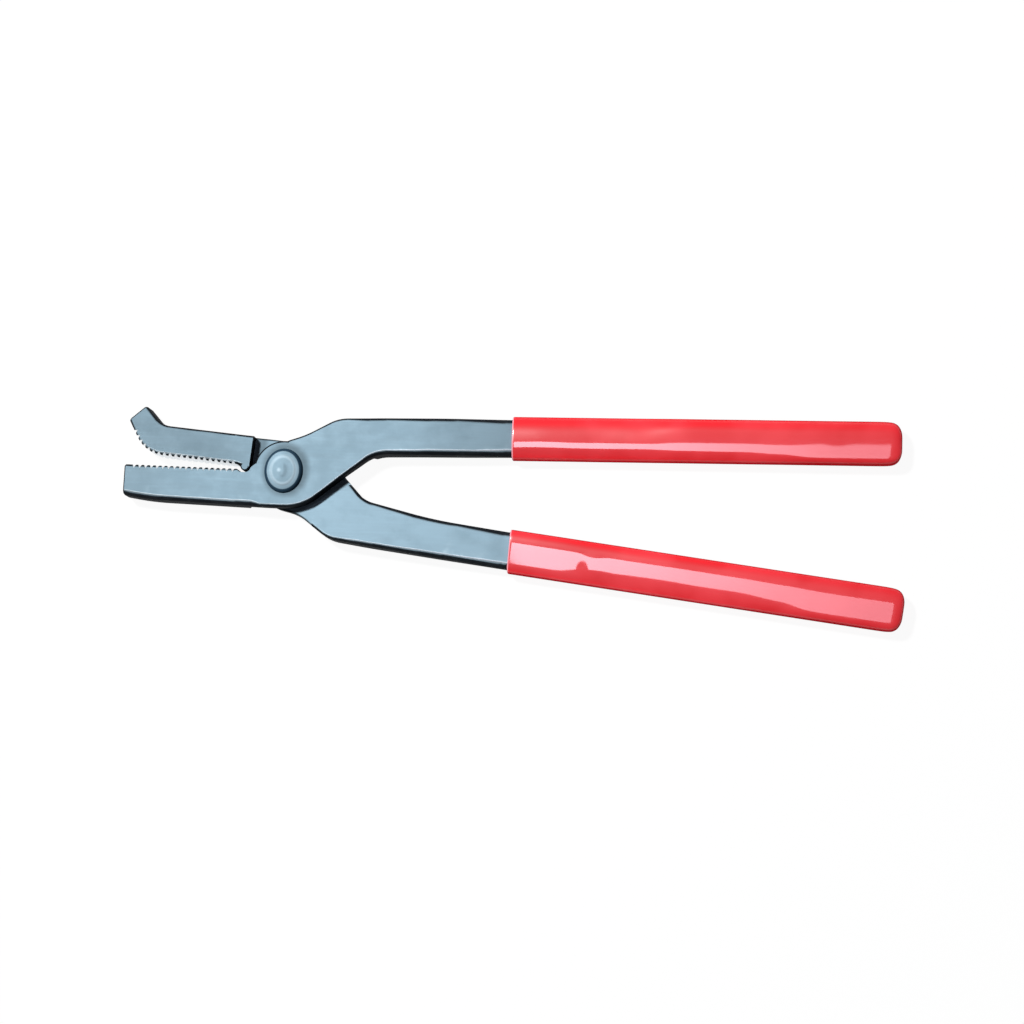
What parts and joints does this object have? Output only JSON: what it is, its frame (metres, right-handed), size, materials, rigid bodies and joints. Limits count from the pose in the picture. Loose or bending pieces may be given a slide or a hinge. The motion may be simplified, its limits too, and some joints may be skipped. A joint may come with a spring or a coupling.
{
  "type": "nail clincher",
  "caption": "Long-handled nail clincher with one straight and one curved toothed jaw, lap-jointed on an oval-headed rivet, with plastic-dipped handles.",
  "frame": {"origin": "on the rivet axis, in the flat back that the tool lies on", "axes": "+X from the rivet towards the handles, along the toothed edge of the straight jaw; +Z along the rivet, from the flat back to the rivet head; +Y towards the upper handle"},
  "size_m": [0.3246, 0.086, 0.016],
  "materials": {
    "steel": "satin ground forging, bright teeth",
    "rivet_steel": "satin, peened",
    "dipped_plastic": "glossy dip coating"
  },
  "bodies": {
    "straight_arm": {"straight_jaw_arm": "steel", "pivot_rivet": "rivet_steel", "upper_grip": "dipped_plastic"},
    "curved_arm": {"curved_jaw_arm": "steel", "lower_grip": "dipped_plastic"}
  },
  "joints": [
    {"name": "jaw_pivot", "type": "hinge", "parent": "straight_arm", "child": "curved_arm", "pos_m": [0, 0, 0.0065], "axis": [0, 0, -1], "range_deg": [-2, 60]}
  ]
}
